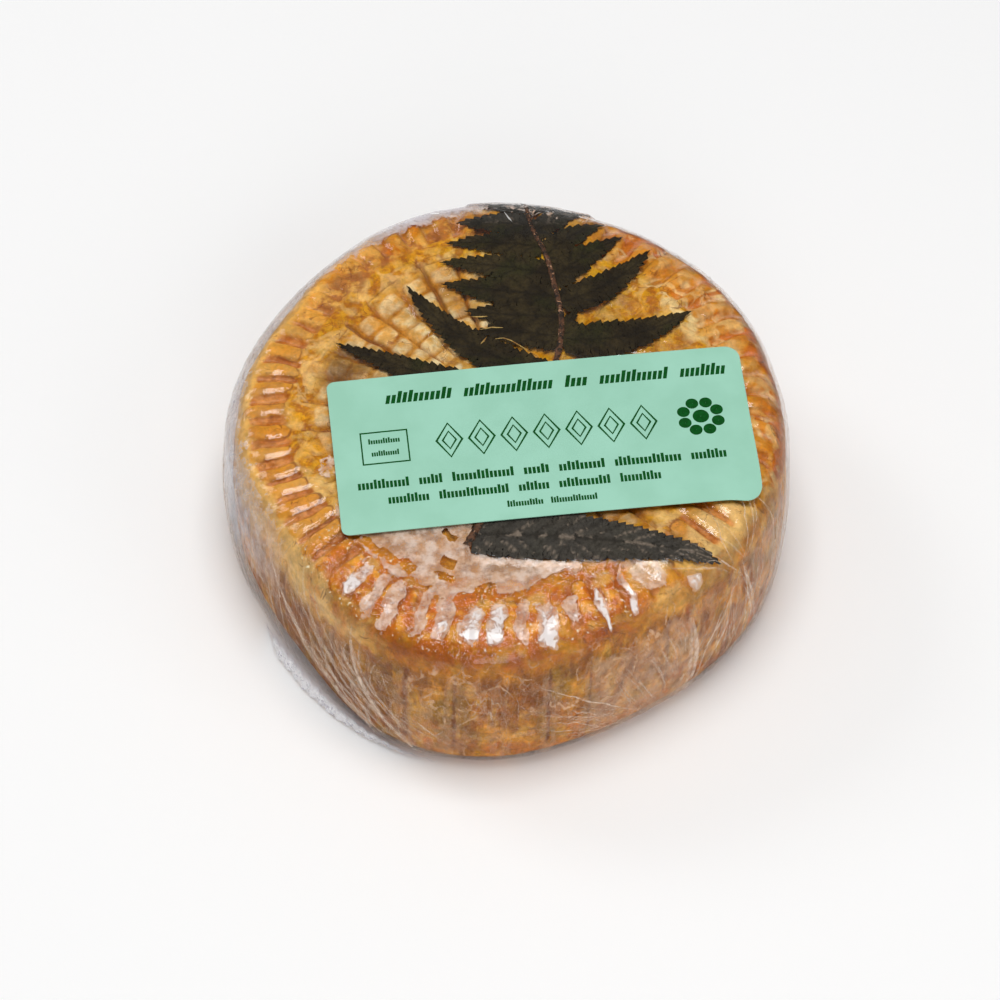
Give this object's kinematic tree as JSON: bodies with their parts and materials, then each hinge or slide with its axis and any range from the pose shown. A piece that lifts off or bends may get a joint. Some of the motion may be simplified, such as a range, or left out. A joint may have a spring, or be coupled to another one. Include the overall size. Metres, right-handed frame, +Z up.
{
  "type": "wrapped goat cheese",
  "caption": "Low round basket-moulded goat cheese with a pressed fern frond and an oblong sticker, wrapped tight in clear film with loose film at its foot.",
  "frame": {"origin": "centre of the bounding box on the floor, under the cheese", "axes": "+Z up through the cheese, +X to the right of the sticker's text and +Y to the back, over which the frond's tip hangs"},
  "size_m": [0.1122, 0.119, 0.0397],
  "materials": {
    "rind": "moist washed rind under tight clear film",
    "fern": "dark pressed leaf",
    "paper": "smooth paper",
    "clear_film": "clear glossy film"
  },
  "bodies": {
    "root": {"wrapped_cheese": "rind", "fern_frond": "fern", "label": "paper", "film_skirt": "clear_film"}
  },
  "joints": []
}
